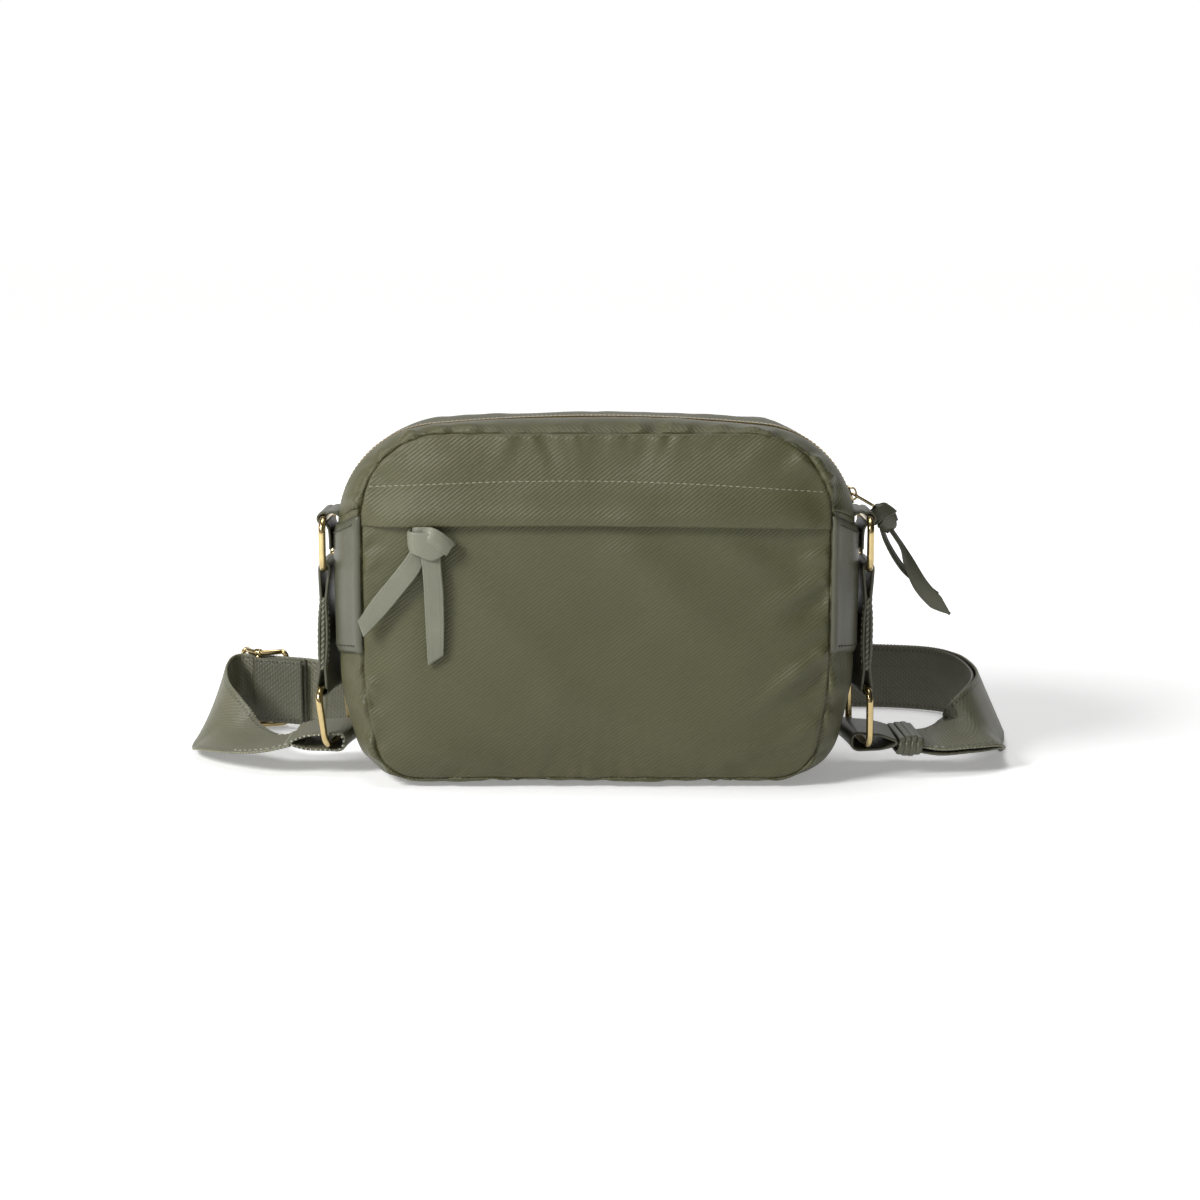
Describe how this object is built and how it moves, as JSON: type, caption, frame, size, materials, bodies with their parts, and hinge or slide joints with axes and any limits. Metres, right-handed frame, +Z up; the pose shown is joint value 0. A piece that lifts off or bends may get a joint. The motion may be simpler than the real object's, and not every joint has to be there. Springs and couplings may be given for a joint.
{
  "type": "crossbody purse",
  "caption": "Compact zip-top crossbody bag in nylon with a flap-covered front pocket, leather side trim, ring-and-tab hangers, knotted zip pulls and an adjustable webbing strap.",
  "frame": {"origin": "middle of the base, on the plane that the bag stands on, half way between the front and back seams", "axes": "+Z up; the front with the pocket flap faces -Y; +X is to the right seen from the front"},
  "size_m": [0.4184, 0.1956, 0.1725],
  "materials": {
    "nylon": "olive nylon twill with a soft sheen",
    "leather": "smooth olive leather, satin",
    "pull_leather": "smooth grey-green leather, satin",
    "webbing": "woven nylon webbing with a sheen",
    "brass": "polished light gold plating",
    "zip_tape": "woven olive zip tape",
    "lining": "plain woven lining",
    "foam": "foam interlining"
  },
  "bodies": {
    "root": {"gusset_lower": "nylon", "zip_gusset_front": "nylon", "zip_gusset_back": "nylon", "front_pocket_panel": "nylon", "front_yoke": "nylon", "back_panel": "nylon", "side_patch_left": "leather", "side_patch_right": "leather", "ring_loop_left": "leather", "ring_loop_right": "leather", "strap_end_loop_right": "leather", "strap_keeper_right": "leather", "strap_webbing": "webbing", "strap_return_webbing": "webbing", "strap_sewn_end": "webbing", "strap_end_loop_left": "webbing", "zip_teeth_front": "brass", "zip_teeth_back": "brass", "zip_stop_left": "brass", "zip_stop_right": "brass", "front_zip_teeth_lower": "brass", "front_zip_teeth_upper": "brass", "zip_tape_front": "zip_tape", "zip_tape_back": "zip_tape", "front_zip_tape_lower": "zip_tape", "front_zip_tape_upper": "zip_tape", "main_lining": "lining", "front_pocket_lining": "lining", "seam_binding_front": "lining", "seam_binding_back": "lining", "front_foam": "foam", "back_foam": "foam"},
    "main_slider": {"main_slider_body": "brass"},
    "main_pull": {"main_pull_link": "brass"},
    "main_tassel": {"main_pull_knot": "leather", "main_tail_upper": "leather", "main_tail_lower": "leather"},
    "front_slider": {"front_slider_body": "brass"},
    "front_pull": {"front_pull_link": "brass", "front_pull_knot": "pull_leather", "front_tail_left": "pull_leather", "front_tail_right": "pull_leather"},
    "flap": {"pocket_flap": "nylon"},
    "adjuster": {"adjuster_frame": "brass", "adjuster_bar": "brass"},
    "upper_ring_left": {"upper_ring_left": "brass"},
    "link_tab_left": {"link_tab_left": "leather"},
    "lower_ring_left": {"lower_ring_left": "brass"},
    "upper_ring_right": {"upper_ring_right": "brass"},
    "link_tab_right": {"link_tab_right": "leather"},
    "lower_ring_right": {"lower_ring_right": "brass"}
  },
  "joints": [
    {"name": "main_zip_travel", "type": "hinge", "parent": "root", "child": "main_slider", "pos_m": [0.0754, 0, 0.121], "axis": [0, -1, 0], "range_deg": [0, 62]},
    {"name": "main_pull_swing", "type": "hinge", "parent": "main_slider", "child": "main_pull", "pos_m": [0.12312, 0, 0.13559], "axis": [0, -1, 0], "range_deg": [0, 95]},
    {"name": "main_tassel_swing", "type": "hinge", "parent": "main_pull", "child": "main_tassel", "pos_m": [0.13343, 0, 0.1297], "axis": [0, -1, 0], "range_deg": [0, 35]},
    {"name": "front_zip_travel", "type": "slide", "parent": "root", "child": "front_slider", "axis": [1, 0, 0], "range_m": [0, 0.16]},
    {"name": "front_pull_lift", "type": "hinge", "parent": "front_slider", "child": "front_pull", "pos_m": [-0.076, -0.0422, 0.134], "axis": [-1, 0, 0], "range_deg": [0, 44]},
    {"name": "flap_lift", "type": "hinge", "parent": "root", "child": "flap", "pos_m": [0, -0.0428, 0.144], "axis": [-1, 0, 0], "range_deg": [0, 72]},
    {"name": "adjuster_slide", "type": "slide", "parent": "root", "child": "adjuster", "axis": [0.9337, -0.3579, 0], "range_m": [0, 0.018], "deforming": ["strap_sewn_end"]},
    {"name": "upper_ring_swing_left", "type": "hinge", "parent": "root", "child": "upper_ring_left", "pos_m": [-0.1296, 0, 0.1252], "axis": [0, 1, 0], "range_deg": [0, 13]},
    {"name": "link_tab_swing_left", "type": "hinge", "parent": "upper_ring_left", "child": "link_tab_left", "pos_m": [-0.1296, 0, 0.1015], "axis": [0, 1, 0], "range_deg": [-18, 0]},
    {"name": "lower_ring_swing_left", "type": "hinge", "parent": "link_tab_left", "child": "lower_ring_left", "pos_m": [-0.1316, 0, 0.043], "axis": [0, 1, 0], "range_deg": [0, 3.6]},
    {"name": "upper_ring_swing_right", "type": "hinge", "parent": "root", "child": "upper_ring_right", "pos_m": [0.1296, 0, 0.1252], "axis": [0, -1, 0], "range_deg": [0, 13]},
    {"name": "link_tab_swing_right", "type": "hinge", "parent": "upper_ring_right", "child": "link_tab_right", "pos_m": [0.1296, 0, 0.1015], "axis": [0, -1, 0], "range_deg": [-18, 0]},
    {"name": "lower_ring_swing_right", "type": "hinge", "parent": "link_tab_right", "child": "lower_ring_right", "pos_m": [0.1316, 0, 0.043], "axis": [0, -1, 0], "range_deg": [0, 3.6]}
  ],
  "couplings": [
    {"joint": "flap_lift", "follows": "front_pull_lift", "ratio": 1.5},
    {"joint": "link_tab_swing_left", "follows": "upper_ring_swing_left", "ratio": -1.36},
    {"joint": "lower_ring_swing_left", "follows": "upper_ring_swing_left", "ratio": 0.262},
    {"joint": "link_tab_swing_right", "follows": "upper_ring_swing_right", "ratio": -1.36},
    {"joint": "lower_ring_swing_right", "follows": "upper_ring_swing_right", "ratio": 0.262}
  ]
}
